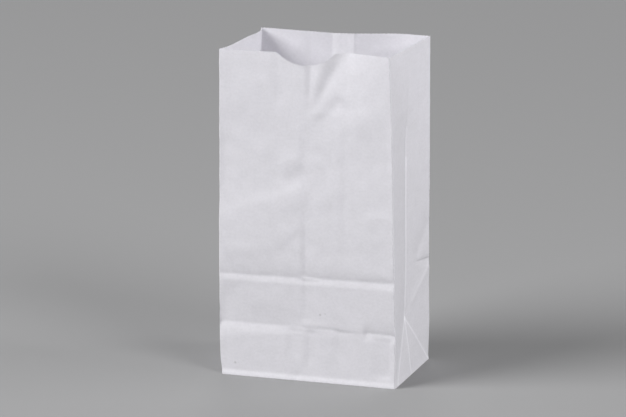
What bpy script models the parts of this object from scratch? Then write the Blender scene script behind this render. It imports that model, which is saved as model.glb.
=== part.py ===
"""A white paper lunch bag, folded and glued from one sheet, standing open.

Metres, +Z up. The origin is the middle of the base. The front, with the thumb
notch, faces -Y, and the glued lengthwise seam runs up the middle of the back.
"""

import math

import bmesh
import bpy
from mathutils import Vector

MM = 0.001

# The square-bottomed tube.
BAG_WIDTH = 152.4 * MM
BAG_DEPTH = 92.1 * MM
BAG_HEIGHT = 281.0 * MM
PAPER_THICKNESS = 0.1 * MM

# The glued laps of the sheet, up the back and across the base.
SEAM_LAP = 19.0 * MM
SEAM_EDGE_RUN = 0.3 * MM
BASE_LAP = 15.0 * MM

# The cut mouth: a thumb notch in the front and a saw-toothed edge all round.
NOTCH_WIDTH = 51.0 * MM
NOTCH_DEPTH = 10.5 * MM
NOTCH_MARGIN = 6.0 * MM
TOOTH_PITCH = 3.175 * MM
TOOTH_DEPTH = 0.5 * MM

# The creases left by folding the bag flat.
CREASE_DEPTH = 1.1 * MM
CREASE_REACH = 6.0 * MM
BACK_CREASE_SHARE = 0.3
IMPRINT_DEPTH = 0.5 * MM
APEX_TUCK = 7.4 * MM
WAIST_TUCK = 6.2 * MM
MOUTH_TUCK = 1.5 * MM

# How far each corner of the mouth has moved while the bag was opened by hand.
MOUTH_SHIFTS = (
    (2.1 * MM, -2.9 * MM),
    (-4.6 * MM, 4.6 * MM),
    (1.9 * MM, 3.3 * MM),
    (7.0 * MM, -3.6 * MM),
)
SHIFT_CURVE = 1.7

# The bows of the mouth's free edge: shares of the panel's width, and how far the rim lies in there.
BACK_BOW = ((0.0, 0.0), (0.16, -2.5 * MM), (0.28, 0.0), (0.52, 7.4 * MM), (0.78, 3.6 * MM), (1.0, 0.0))
LEFT_BOW = ((0.0, 0.0), (0.24, 3.5 * MM), (0.65, 1.1 * MM), (1.0, 0.0))
BOW_START = 150.0 * MM
BOW_CURVE = 1.5

# The dent in the front, from the mouth down towards the centre line.
DENT_DEPTH = 9.0 * MM
DENT_REACH = 16.0 * MM
DENT_LENGTH = 75.0 * MM
DENT_MOUTH_PLACE = 117.0 * MM
DENT_FOOT_PLACE = 80.0 * MM

# The facets of the walls.
GUSSET_FACETS = 6
PANEL_FACET = 8.5 * MM
ROW_HEIGHT = 19.0 * MM
NOTCH_FACETS = 16

PAPER_COLOUR = (0.70, 0.70, 0.735, 1.0)
PAPER_ROUGHNESS = 0.85
WELD_DISTANCE = 0.01 * MM

FRONT, RIGHT, BACK, LEFT = range(4)
PANEL_WIDTHS = (BAG_WIDTH, BAG_DEPTH, BAG_WIDTH, BAG_DEPTH)
HALF_WIDTH = BAG_WIDTH / 2
HALF_DEPTH = BAG_DEPTH / 2
FLAP_LENGTH = HALF_DEPTH + BASE_LAP / 2
NOTCH_RADIUS = (NOTCH_WIDTH ** 2 / 4 + NOTCH_DEPTH ** 2) / (2 * NOTCH_DEPTH)
BAND_BOTTOM = BAG_HEIGHT - NOTCH_DEPTH - NOTCH_MARGIN


def tent(offset, reach):
    """Height of a straight-sided ridge: 1 on its line and 0 past its reach."""
    return max(0.0, 1.0 - abs(offset) / reach)


def blend(start, end, share):
    """Value part of the way from start to end."""
    return start + (end - start) * share


def base_corner(index):
    """Corner of the base: front left, front right, back right, back left."""
    x = HALF_WIDTH if index in (1, 2) else -HALF_WIDTH
    y = HALF_DEPTH if index in (2, 3) else -HALF_DEPTH
    return Vector((x, y))


def corner(index, z):
    """Corner of the tube at height z."""
    index %= 4
    lean = max(0.0, z / BAG_HEIGHT) ** SHIFT_CURVE
    return base_corner(index) + Vector(MOUTH_SHIFTS[index]) * lean


def inward(panel, z):
    """Direction into the bag, square to a panel at height z."""
    along = (corner(panel + 1, z) - corner(panel, z)).normalized()
    return Vector((-along.y, along.x))


def creases(s, z):
    """Pattern of the front's and back's folds, 1 on a line and 0 past its reach.

    Two lines cross the panel where the flat bag's base folds over it. Three run
    up it: its middle, and the centre folds of the two gussets pressed behind it.
    """
    across = max(tent(z - BAG_DEPTH, CREASE_REACH), tent(z - HALF_DEPTH, CREASE_REACH))
    lines = (HALF_DEPTH, HALF_WIDTH, BAG_WIDTH - HALF_DEPTH)
    up = max(tent(s - line, CREASE_REACH) for line in lines) * min(1.0, max(0.0, z / BAG_DEPTH))
    return across, up


def front_relief(s, z):
    """How far the front is pushed in at distance s from its left edge."""
    across, up = creases(s, z)
    crease = max(CREASE_DEPTH * across, IMPRINT_DEPTH * up)
    down = (BAG_HEIGHT - z) / DENT_LENGTH
    if down >= 1.0:
        return crease
    place = blend(DENT_MOUTH_PLACE, DENT_FOOT_PLACE, down)
    return crease + DENT_DEPTH * (1.0 - down) * tent(s - place, DENT_REACH)


def bow(knots, share, z):
    """How far a panel bows in at a share of its width, growing from BOW_START up to the mouth."""
    if z <= BOW_START:
        return 0.0
    grown = ((z - BOW_START) / (BAG_HEIGHT - BOW_START)) ** BOW_CURVE
    for (start, depth), (end, next_depth) in zip(knots, knots[1:]):
        if share <= end:
            return grown * blend(depth, next_depth, (share - start) / (end - start))
    return 0.0


def back_relief(s, z):
    """How far the back's outer face lies in: faint creases, its bow, and the seam's outer cut edge."""
    crease = CREASE_DEPTH * BACK_CREASE_SHARE * creases(s, z)[0] + bow(BACK_BOW, s / BAG_WIDTH, z)
    edge = (BAG_WIDTH + SEAM_LAP) / 2
    if s <= edge:
        return crease
    run = (s - edge) / SEAM_EDGE_RUN
    lap = run if run < 1.0 else (BAG_WIDTH - s) / (BAG_WIDTH - edge - SEAM_EDGE_RUN)
    return crease + PAPER_THICKNESS * lap * min(1.0, z / CREASE_REACH)


def gusset_centre(z):
    """Depth of the centre crease of a side panel above the fold's apex."""
    if z < BAG_DEPTH:
        return blend(APEX_TUCK, WAIST_TUCK, (z - HALF_DEPTH) / HALF_DEPTH)
    return blend(WAIST_TUCK, MOUTH_TUCK, (z - BAG_DEPTH) / (BAG_HEIGHT - BAG_DEPTH))


def gusset_relief(s, z, back_first):
    """How far a side panel is tucked in: flat facets that meet at the apex.

    The apex lies on the centre line at half the bag's depth. Folds run from it to
    both bottom corners, to the front edge at its own height and to the back edge
    at twice that height.
    """
    from_edge = min(s, BAG_DEPTH - s)
    in_back_half = (s < HALF_DEPTH) == back_first
    share = from_edge / HALF_DEPTH
    if z < from_edge:
        return APEX_TUCK * z / HALF_DEPTH
    if z < HALF_DEPTH or (in_back_half and z < BAG_DEPTH - from_edge):
        return APEX_TUCK * share
    if in_back_half and z < BAG_DEPTH:
        return WAIST_TUCK * share + (WAIST_TUCK - APEX_TUCK) * (z - BAG_DEPTH) / HALF_DEPTH
    return gusset_centre(z) * share


def relief(panel, s, z):
    """How far a panel's outer face is pushed into the bag."""
    if panel == FRONT:
        return front_relief(s, z)
    if panel == BACK:
        return back_relief(s, z)
    if panel == RIGHT:
        return gusset_relief(s, z, back_first=False)
    return gusset_relief(s, z, back_first=True) + bow(LEFT_BOW, s / BAG_DEPTH, z)


def thickness(panel, s):
    """Thickness of the wall: two sheets where the seam laps."""
    if panel == BACK and abs(s - HALF_WIDTH) <= SEAM_LAP / 2 + WELD_DISTANCE:
        return 2 * PAPER_THICKNESS
    return PAPER_THICKNESS


def wall_point(panel, s, z, inner):
    """Point on the outer or inner face of a panel."""
    width = PANEL_WIDTHS[panel]
    start, end = corner(panel, z), corner(panel + 1, z)
    if s < WELD_DISTANCE or s > width - WELD_DISTANCE:
        at_start = s < WELD_DISTANCE
        place = start if at_start else end
        if inner:
            neighbour = panel - 1 if at_start else panel + 1
            place = place + (inward(panel, z) + inward(neighbour % 4, z)) * PAPER_THICKNESS
    else:
        depth = relief(panel, s, z) + (thickness(panel, s) if inner else 0.0)
        place = start + (end - start) * (s / width) + inward(panel, z) * depth
    return Vector((place.x, place.y, z))


def notch_height(x):
    """Height of the thumb notch's round edge at x from the middle of the front."""
    if abs(x) >= NOTCH_WIDTH / 2:
        return BAG_HEIGHT
    return BAG_HEIGHT - NOTCH_DEPTH + NOTCH_RADIUS - math.sqrt(NOTCH_RADIUS ** 2 - x ** 2)


def mouth_height(panel, s):
    """Height of the cut edge of a panel, with its teeth and the thumb notch."""
    teeth = round(PANEL_WIDTHS[panel] / TOOTH_PITCH)
    phase = s / PANEL_WIDTHS[panel] * teeth % 1.0
    height = BAG_HEIGHT - TOOTH_DEPTH * (1.0 - abs(2.0 * phase - 1.0))
    if panel == FRONT:
        height = min(height, notch_height(s - HALF_WIDTH))
    return height


def spaced(breaks, longest):
    """Sorted stations through all the breaks, no further apart than the longest step."""
    breaks = sorted(breaks)
    stations = [breaks[0]]
    for start, end in zip(breaks, breaks[1:]):
        if end - start < WELD_DISTANCE:
            continue
        steps = max(1, math.ceil((end - start) / longest - 0.01))
        stations += [blend(start, end, step / steps) for step in range(1, steps + 1)]
    return stations


def gusset_stations():
    """Distances from a bottom corner that both the columns and the rows of a gusset keep."""
    inner = [blend(CREASE_REACH, HALF_DEPTH - CREASE_REACH, step / GUSSET_FACETS)
             for step in range(GUSSET_FACETS + 1)]
    return [0.0] + inner + [HALF_DEPTH]


def columns(panel):
    """Distances along a panel at which its faces are divided."""
    if panel in (LEFT, RIGHT):
        half = gusset_stations()
        return half + [BAG_DEPTH - s for s in reversed(half[:-1])]
    breaks = [0.0, HALF_DEPTH, FLAP_LENGTH, HALF_WIDTH,
              BAG_WIDTH - FLAP_LENGTH, BAG_WIDTH - HALF_DEPTH, BAG_WIDTH]
    if panel == BACK:
        for side in (-1, 1):
            edge = HALF_WIDTH + side * SEAM_LAP / 2
            breaks += [edge, edge + SEAM_EDGE_RUN * side]
    return spaced(breaks, PANEL_FACET)


def rows():
    """Heights at which the walls are divided, from the base to the band under the notch."""
    half = gusset_stations()
    block = half + [BAG_DEPTH - z for z in reversed(half[:-1])]
    return block + spaced([BAG_DEPTH + CREASE_REACH, BAND_BOTTOM], ROW_HEIGHT)


def mouth_stations(panel, start, end):
    """Distances along the cut edge between two columns, one for each tooth's tip and root."""
    width = PANEL_WIDTHS[panel]
    halves = 2 * round(width / TOOTH_PITCH)
    stations = [width * step / halves for step in range(halves + 1)]
    if panel == FRONT:
        arc = [HALF_WIDTH + NOTCH_WIDTH * (step / NOTCH_FACETS - 0.5) for step in range(NOTCH_FACETS + 1)]
        stations = [s for s in stations if s < arc[0] or s > arc[-1]] + arc
    inside = [s for s in stations if start + TOOTH_DEPTH < s < end - TOOTH_DEPTH]
    return [start] + sorted(inside) + [end]


def falls_forward(panel, s, z):
    """Whether a facet is split from its lower start to its upper end."""
    if panel in (FRONT, BACK):
        return True
    first_half = s < HALF_DEPTH
    return first_half == (z < HALF_DEPTH)


def add_face(mesh, points):
    """Adds one face through the points, with vertices of its own."""
    mesh.faces.new([mesh.verts.new(point) for point in points])


def add_wall(mesh, panel, inner):
    """Adds the facets of one face of a panel, from its first row up to the cut edge."""
    heights = rows()
    stations = columns(panel)
    first = 1 if inner and panel in (FRONT, BACK) else 0
    for s0, s1 in zip(stations, stations[1:]):
        for row in range(first, len(heights) - 1):
            z0 = max(heights[row], PAPER_THICKNESS) if inner else heights[row]
            z1 = heights[row + 1]
            a, b = wall_point(panel, s0, z0, inner), wall_point(panel, s1, z0, inner)
            c, d = wall_point(panel, s1, z1, inner), wall_point(panel, s0, z1, inner)
            middle = (s0 + s1) / 2
            halves = ((a, b, c), (a, c, d)) if falls_forward(panel, middle, z0) else ((a, b, d), (b, c, d))
            for triangle in halves:
                add_face(mesh, triangle)
        add_band(mesh, panel, s0, s1, inner)


def add_band(mesh, panel, s0, s1, inner):
    """Adds the facets between the band under the notch and the cut edge."""
    cut = mouth_stations(panel, s0, s1)
    top = [wall_point(panel, s, mouth_height(panel, s), inner) for s in cut]
    left, right = wall_point(panel, s0, BAND_BOTTOM, inner), wall_point(panel, s1, BAND_BOTTOM, inner)
    turn = len(top) // 2
    for step in range(len(top) - 1):
        foot = left if step < turn else right
        add_face(mesh, (foot, top[step + 1], top[step]))
    add_face(mesh, (left, right, top[turn]))


def add_rim(mesh, panel):
    """Adds the narrow cut face of the paper along the mouth of a panel."""
    stations = columns(panel)
    for s0, s1 in zip(stations, stations[1:]):
        cut = mouth_stations(panel, s0, s1)
        for start, end in zip(cut, cut[1:]):
            heights = mouth_height(panel, start), mouth_height(panel, end)
            add_face(mesh, (
                wall_point(panel, start, heights[0], False), wall_point(panel, end, heights[1], False),
                wall_point(panel, end, heights[1], True), wall_point(panel, start, heights[0], True)))


def floor_height(x):
    """Height of the bag's floor along the foot of the front and back walls.

    The flaps of the base are one sheet thick there. The folded-in ends of the
    side panels lie on them and on the folds between, three sheets up.
    """
    from_end = HALF_WIDTH - abs(x)
    if from_end > FLAP_LENGTH + WELD_DISTANCE:
        return PAPER_THICKNESS
    return PAPER_THICKNESS * (1.0 + 2.0 * min(1.0, from_end / HALF_DEPTH))


def foot_points(panel, low, high, level=None):
    """Points along the inner foot of the front or back wall between two values of x."""
    points = []
    for s in columns(panel):
        x = s - HALF_WIDTH if panel == FRONT else HALF_WIDTH - s
        if low - WELD_DISTANCE <= x <= high + WELD_DISTANCE:
            z = floor_height(x) if level is None else level
            points.append(wall_point(panel, s, z, True))
    return sorted(points, key=lambda point: point.x)


def add_inner_feet(mesh, panel):
    """Adds the lowest facets of the inner face of the front or back wall."""
    top = rows()[1]
    lip = HALF_WIDTH - FLAP_LENGTH
    stations = columns(panel)
    for s0, s1 in zip(stations, stations[1:]):
        middle = abs((s0 + s1) / 2 - HALF_WIDTH)
        corners = []
        for s in (s0, s1):
            x = abs(s - HALF_WIDTH)
            at_lip = abs(x - lip) < WELD_DISTANCE
            z = PAPER_THICKNESS if at_lip and middle < lip else floor_height(x)
            foot = [wall_point(panel, s, z, True)]
            if at_lip and middle < lip:
                foot.append(wall_point(panel, s, floor_height(x), True))
            corners.append(foot)
        upper = [wall_point(panel, s1, top, True), wall_point(panel, s0, top, True)]
        add_face(mesh, [corners[0][0]] + corners[1] + upper + corners[0][1:])


def add_floor(mesh):
    """Adds the bag's floor, with the steps of its glued layers."""
    t = PAPER_THICKNESS
    lip = HALF_WIDTH - FLAP_LENGTH
    fold = HALF_WIDTH - HALF_DEPTH
    lap = BASE_LAP / 2
    for side in (-1, 1):
        near, far = sorted((side * lip, side * fold))
        front = foot_points(FRONT, near, far, 3 * t)
        back = foot_points(BACK, near, far, 3 * t)
        add_face(mesh, front + back[::-1])
        near, far = sorted((side * fold, side * HALF_WIDTH))
        front = foot_points(FRONT, near, far)
        back = foot_points(BACK, near, far)
        panel = RIGHT if side > 0 else LEFT
        gusset = [wall_point(panel, s, t, True) for s in columns(panel)[1:-1]]
        add_face(mesh, front + gusset + back[::-1] if side > 0 else front + back[::-1] + gusset)
        front_foot = foot_points(FRONT, side * lip, side * lip, t)[0]
        back_foot = foot_points(BACK, side * lip, side * lip, t)[0]
        x = side * lip
        add_face(mesh, (
            front_foot, Vector((x, -lap, 2 * t)), Vector((x, lap, 2 * t)), Vector((x, lap, t)), back_foot,
            foot_points(BACK, x, x, 3 * t)[0], foot_points(FRONT, x, x, 3 * t)[0]))
    left, right = -lip, lip
    lapped = [Vector((left, -lap, 2 * t)), Vector((right, -lap, 2 * t)),
              Vector((right, lap, 2 * t)), Vector((left, lap, 2 * t))]
    step = [Vector((left, lap, t)), Vector((right, lap, t))]
    add_face(mesh, foot_points(FRONT, left, right, t) + [lapped[1], lapped[0]])
    add_face(mesh, lapped)
    add_face(mesh, [lapped[3], lapped[2], step[1], step[0]])
    add_face(mesh, step + foot_points(BACK, left, right, t)[::-1])


def add_underside(mesh):
    """Adds the underside: two glued flaps, the back one over the front one, between two folded ends."""
    t = PAPER_THICKNESS
    lap = BASE_LAP / 2
    lip = HALF_WIDTH - FLAP_LENGTH
    fold = HALF_WIDTH - HALF_DEPTH
    front_rise = t * HALF_DEPTH / (HALF_DEPTH - lap)
    front = [wall_point(FRONT, s, 0.0, False) for s in columns(FRONT)]
    back = [wall_point(BACK, s, 0.0, False) for s in columns(BACK)]
    edge_low = [Vector((-lip, -lap, 0.0)), Vector((lip, -lap, 0.0))]
    edge_high = [Vector((-lip, -lap, t)), Vector((lip, -lap, t))]
    low = [Vector((-fold, 0.0, 0.0)), Vector((fold, 0.0, 0.0))]
    middle = [Vector((-fold, 0.0, front_rise)), Vector((fold, 0.0, front_rise))]
    high = [Vector((-fold, 0.0, 2 * t)), Vector((fold, 0.0, 2 * t))]
    add_face(mesh, front + [middle[1], edge_high[1], edge_high[0], middle[0]])
    add_face(mesh, back + [low[0], edge_low[0], edge_low[1], low[1]])
    add_face(mesh, (edge_low[0], edge_low[1], edge_high[1], edge_high[0]))
    for side, panel in enumerate((LEFT, RIGHT)):
        gusset = [wall_point(panel, s, 0.0, False) for s in columns(panel)]
        front_corner, back_corner = (gusset[-1], gusset[0]) if panel == LEFT else (gusset[0], gusset[-1])
        add_face(mesh, gusset + [high[side]])
        add_face(mesh, (front_corner, middle[side], high[side]))
        add_face(mesh, (back_corner, low[side], middle[side], high[side]))
        add_face(mesh, (low[side], edge_low[side], edge_high[side], middle[side]))


def paper_material():
    """Bleached kraft paper."""
    material = bpy.data.materials.new("white_paper")
    material.use_nodes = True
    shader = material.node_tree.nodes["Principled BSDF"]
    shader.inputs["Base Color"].default_value = PAPER_COLOUR
    shader.inputs["Roughness"].default_value = PAPER_ROUGHNESS
    shader.inputs["Metallic"].default_value = 0.0
    material.diffuse_color = PAPER_COLOUR
    return material


def build_bag():
    """Builds the whole bag as one closed solid."""
    mesh = bmesh.new()
    for panel in (FRONT, RIGHT, BACK, LEFT):
        add_wall(mesh, panel, inner=False)
        add_wall(mesh, panel, inner=True)
        add_rim(mesh, panel)
    for panel in (FRONT, BACK):
        add_inner_feet(mesh, panel)
    add_floor(mesh)
    add_underside(mesh)
    bmesh.ops.remove_doubles(mesh, verts=mesh.verts, dist=WELD_DISTANCE)
    bmesh.ops.recalc_face_normals(mesh, faces=mesh.faces)
    data = bpy.data.meshes.new("paper_bag")
    mesh.to_mesh(data)
    mesh.free()
    data.materials.append(paper_material())
    bag = bpy.data.objects.new("paper_bag", data)
    bpy.context.scene.collection.objects.link(bag)
    return bag


for existing in list(bpy.data.objects):
    bpy.data.objects.remove(existing, do_unlink=True)
build_bag()
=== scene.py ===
"""A white paper lunch bag, standing open: one folded sheet of bleached kraft paper in a plain studio.

Sizes of the bag are in millimetres, and become metres where the mesh is made. Sizes of the studio are in
metres. On the flat sheet, run is the distance along its girth and rise the distance up its length. Each of
the four walls of the tube has its own s, from its first corner to its next, counter-clockwise seen from
above, and its own z, the height.
"""

import logging
import math
from collections.abc import Callable
from dataclasses import dataclass, field
from enum import Enum
from functools import partial

import bpy
import numpy as np
from mathutils import Matrix, Vector


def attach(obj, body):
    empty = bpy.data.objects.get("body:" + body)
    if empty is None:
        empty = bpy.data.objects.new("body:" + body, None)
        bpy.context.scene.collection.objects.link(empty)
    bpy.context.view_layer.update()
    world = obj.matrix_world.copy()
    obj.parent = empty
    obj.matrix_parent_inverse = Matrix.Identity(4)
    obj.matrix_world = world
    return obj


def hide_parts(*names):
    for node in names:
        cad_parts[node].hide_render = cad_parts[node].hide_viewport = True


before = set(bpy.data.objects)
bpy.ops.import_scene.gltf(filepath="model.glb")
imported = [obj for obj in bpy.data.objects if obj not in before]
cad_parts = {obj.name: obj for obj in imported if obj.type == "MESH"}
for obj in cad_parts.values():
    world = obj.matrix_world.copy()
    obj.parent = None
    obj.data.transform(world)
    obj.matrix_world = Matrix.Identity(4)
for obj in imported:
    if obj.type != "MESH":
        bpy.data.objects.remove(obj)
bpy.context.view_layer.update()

MM = 0.001
TINY = 1e-6
CLOSE = 1e-3
LOG = logging.getLogger("paper_bag")
Array = np.ndarray
Pair = tuple[float, float]
Curve = tuple[Pair, ...]


class Panel(Enum):
    """The four walls of the tube, counter-clockwise seen from above."""

    FRONT = 0
    RIGHT = 1
    BACK = 2
    LEFT = 3


def knots(at: Array, points: Curve) -> Array:
    """A smooth curve through a few points.

    Args:
        at: where the curve is read.
        points: (place, value) pairs in rising order of place.

    Returns:
        The curve's value at each place, level before the first point and after the last.
    """
    x = np.array([p[0] for p in points], float)
    y = np.array([p[1] for p in points], float)
    slope = np.gradient(y, x)
    slope[0] = slope[-1] = 0.0
    at = np.clip(at, x[0], x[-1])
    i = np.clip(np.searchsorted(x, at, side="right") - 1, 0, len(x) - 2)
    step = x[i + 1] - x[i]
    t = (at - x[i]) / step
    keep = 2 * t**3 - 3 * t**2 + 1
    return (
        keep * y[i]
        + (1 - keep) * y[i + 1]
        + (t**3 - 2 * t**2 + t) * step * slope[i]
        + (t**3 - t**2) * step * slope[i + 1]
    )


def ease(t: Array) -> Array:
    """0 below 0, 1 above 1 and a smooth climb between."""
    t = np.clip(t, 0.0, 1.0)
    return t * t * (3 - 2 * t)


def away(azimuth: float, elevation: float) -> Vector:
    """A direction away from the bag.

    Args:
        azimuth: its angle from straight in front, in degrees, towards the bag's right.
        elevation: its angle above the ground, in degrees.

    Returns:
        The direction, of length 1.
    """
    a, e = math.radians(azimuth), math.radians(elevation)
    return Vector((math.sin(a) * math.cos(e), -math.cos(a) * math.cos(e), math.sin(e)))


def add_object(name: str, data: bpy.types.ID) -> bpy.types.Object:
    """Makes an object and links it to the scene.

    Args:
        name: its name.
        data: its mesh, lamp or camera.

    Returns:
        The new object.
    """
    thing = bpy.data.objects.new(name, data)
    bpy.context.scene.collection.objects.link(thing)
    return thing


@dataclass(frozen=True)
class PressedFold:
    """A fold line pressed across a wall when the bag was folded flat: soft above, a flat facet below.

    The wall leans in towards the line from above, and the facet below it faces up a little. depth and below
    have a value at the line's start and one at its end.
    """

    start: Pair
    end: Pair
    depth: Pair
    above: float
    below: Pair
    crisp: float = 1.0
    fade: Pair = (0.0, 0.0)

    def lift(self, s: Array, z: Array) -> Array:
        """How far the fold moves the wall outwards.

        Args:
            s: distances from the wall's first corner.
            z: heights.

        Returns:
            The move at each place.
        """
        t = (s - self.start[0]) / (self.end[0] - self.start[0])
        share = np.clip(t, 0.0, 1.0)
        line = self.start[1] + (self.end[1] - self.start[1]) * share
        depth = self.depth[0] + (self.depth[1] - self.depth[0]) * share
        below = self.below[0] + (self.below[1] - self.below[0]) * share
        up = np.maximum(z - line, 0.0)
        down = np.maximum(line - z, 0.0)
        length = abs(self.end[0] - self.start[0])
        window = ease(t * length / self.fade[0]) if self.fade[0] else (t >= 0)
        window = window * (ease((1 - t) * length / self.fade[1]) if self.fade[1] else (t <= 1))
        flank = np.clip(1 - down / below, 0.0, 1.0) ** self.crisp
        return -depth * window * np.exp(-up / self.above) * flank


@dataclass(frozen=True)
class Wrinkle:
    """A straight soft ridge (height above 0) or valley (below 0) that fades out at its ends.

    left and right are its reach on either side, looking from start to end, at the start and at the end.
    """

    start: Pair
    end: Pair
    height: float
    left: Pair
    right: Pair
    fade: Pair = (0.3, 0.3)

    def lift(self, s: Array, z: Array) -> Array:
        """How far the wrinkle moves the wall outwards.

        Args:
            s: distances from the wall's first corner.
            z: heights.

        Returns:
            The move at each place.
        """
        along = np.array([self.end[0] - self.start[0], self.end[1] - self.start[1]], float)
        length = float(np.hypot(*along))
        along /= length
        t = ((s - self.start[0]) * along[0] + (z - self.start[1]) * along[1]) / length
        aside = (s - self.start[0]) * along[1] - (z - self.start[1]) * along[0]
        share = np.clip(t, 0.0, 1.0)
        left = self.left[0] + (self.left[1] - self.left[0]) * share
        right = self.right[0] + (self.right[1] - self.right[0]) * share
        reach = np.where(aside < 0, left, right)
        window = ease(t / self.fade[0]) if self.fade[0] else 1.0 * (t >= 0)
        window = window * (ease((1 - t) / self.fade[1]) if self.fade[1] else 1.0 * (t <= 1))
        return self.height * window * np.exp(-((aside / reach) ** 2))


@dataclass(frozen=True)
class Swell:
    """A broad soft bulge (height above 0) or hollow (below 0), turned by an angle in degrees."""

    centre: Pair
    reach: Pair
    height: float
    turn: float = 0.0

    def lift(self, s: Array, z: Array) -> Array:
        """How far the swell moves the wall outwards.

        Args:
            s: distances from the wall's first corner.
            z: heights.

        Returns:
            The move at each place.
        """
        c, n = math.cos(math.radians(self.turn)), math.sin(math.radians(self.turn))
        a = ((s - self.centre[0]) * c + (z - self.centre[1]) * n) / self.reach[0]
        b = ((z - self.centre[1]) * c - (s - self.centre[0]) * n) / self.reach[1]
        return self.height * np.exp(-(a * a + b * b))


@dataclass(frozen=True)
class DentStep:
    """One stair of the dent, which runs from the dent's tip up to the rim.

    low and high are its places to the right of the tip, down at the tip and up at the rim, and half holds its
    half widths there. Its depth grows with its height to the given power.
    """

    low: float
    high: float
    half: Pair
    depth: float
    power: float


@dataclass(frozen=True)
class MouthDent:
    """The push-in at the front of the mouth, which goes in by stairs that spread from its tip up to the rim.

    floor is the width of its floor at the rim. From there the wall comes back out in one wide facet that ends
    at the corner.
    """

    tip: Pair = (79.0, 231.0)
    rim: float = 281.0
    floor: float = 36.0
    corner: float = 151.0
    past_rim: float = 1.1
    stairs: tuple[DentStep, ...] = (
        DentStep(-0.6, -0.6, (1.9, 2.5), 2.3, 0.65),
        DentStep(2.0, 8.0, (3.0, 5.0), -0.9, 0.9),
        DentStep(1.5, 23.5, (2.9, 8.0), 3.8, 0.85),
    )

    def lift(self, s: Array, z: Array) -> Array:
        """How far the dent moves the wall outwards.

        Args:
            s: distances from the wall's first corner.
            z: heights.

        Returns:
            The move at each place, 0 or below.
        """
        up = np.clip((z - self.tip[1]) / (self.rim - self.tip[1]), 0.0, self.past_rim)
        total = np.zeros(np.broadcast(s, z).shape)
        for stair in self.stairs:
            middle = self.tip[0] + stair.low + (stair.high - stair.low) * up
            half = stair.half[0] + (stair.half[1] - stair.half[0]) * up
            total += stair.depth * up**stair.power * ease((s - middle) / (2 * half) + 0.5)
        floor = self.tip[0] + self.floor * up
        back = np.clip((self.corner - s) / (self.corner - floor), 0.0, 1.0)
        return -total * np.where(s > floor, back, 1.0)


@dataclass(frozen=True)
class Facets:
    """Flat facets between fold lines: named corners, each an s, a z and a depth, and triangles of them."""

    corners: dict[str, tuple[float, float, float]]
    triangles: list[tuple[str, str, str]]
    softness: float = 1.3
    samples: int = 8
    slack: float = 1e-9

    def depth(self, s: Array, z: Array) -> Array:
        """The depth of the facets, before softening.

        Args:
            s: distances from the wall's first corner.
            z: heights.

        Returns:
            The depth at each place, 0 outside the triangles.
        """
        out = np.zeros(np.broadcast(s, z).shape)
        for triangle in self.triangles:
            (ax, ay, ad), (bx, by, bd), (cx, cy, cd) = (self.corners[name] for name in triangle)
            area = (bx - ax) * (cy - ay) - (cx - ax) * (by - ay)
            u = ((s - ax) * (cy - ay) - (cx - ax) * (z - ay)) / area
            v = ((bx - ax) * (z - ay) - (s - ax) * (by - ay)) / area
            inside = (u >= -self.slack) & (v >= -self.slack) & (u + v <= 1 + self.slack)
            out = np.where(inside, ad + (bd - ad) * u + (cd - ad) * v, out)
        return out

    def lift(self, s: Array, z: Array) -> Array:
        """How far the facets move the wall outwards, with their folds rounded a little.

        Args:
            s: distances from the wall's first corner.
            z: heights.

        Returns:
            The move at each place, the mean over a small circle.
        """
        places, heights, _ = zip(*self.corners.values())
        angles = np.arange(self.samples) * 2 * math.pi / self.samples
        around = [(0.0, 0.0)] + [(math.cos(a), math.sin(a)) for a in angles]
        total = np.zeros(np.broadcast(s, z).shape)
        for a, b in around:
            beside = np.clip(s + a * self.softness, min(places), max(places))
            above = np.clip(z + b * self.softness, 0.0, max(heights))
            total += self.depth(beside, above)
        return -total / len(around)


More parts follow.
